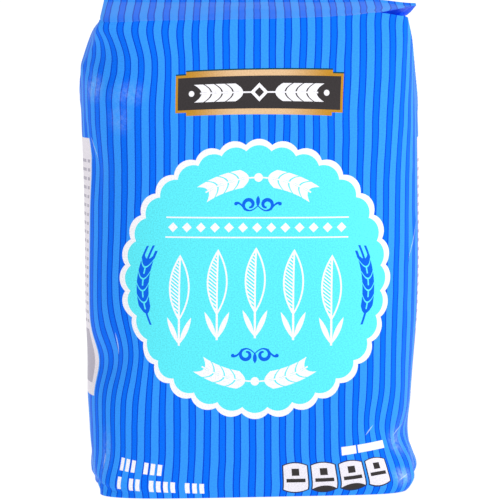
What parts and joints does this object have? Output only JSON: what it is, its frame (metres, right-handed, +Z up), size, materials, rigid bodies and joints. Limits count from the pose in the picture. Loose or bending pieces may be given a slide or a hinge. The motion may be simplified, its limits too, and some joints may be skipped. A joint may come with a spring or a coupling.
{
  "type": "bag of flour",
  "caption": "Full paper sack of flour, shut at the top with a folded gable, standing on its flat pasted bottom.",
  "frame": {"origin": "on the surface the bag stands on, under the middle of its box", "axes": "+Z up the height, +X to the right across the wide front, -Y out of the front"},
  "size_m": [0.1616, 0.1, 0.2312],
  "materials": {
    "printed_paper": "bleached sack paper, printed with two blues in stripes, with a light gloss"
  },
  "bodies": {
    "root": {"flour_bag": "printed_paper"}
  },
  "joints": []
}
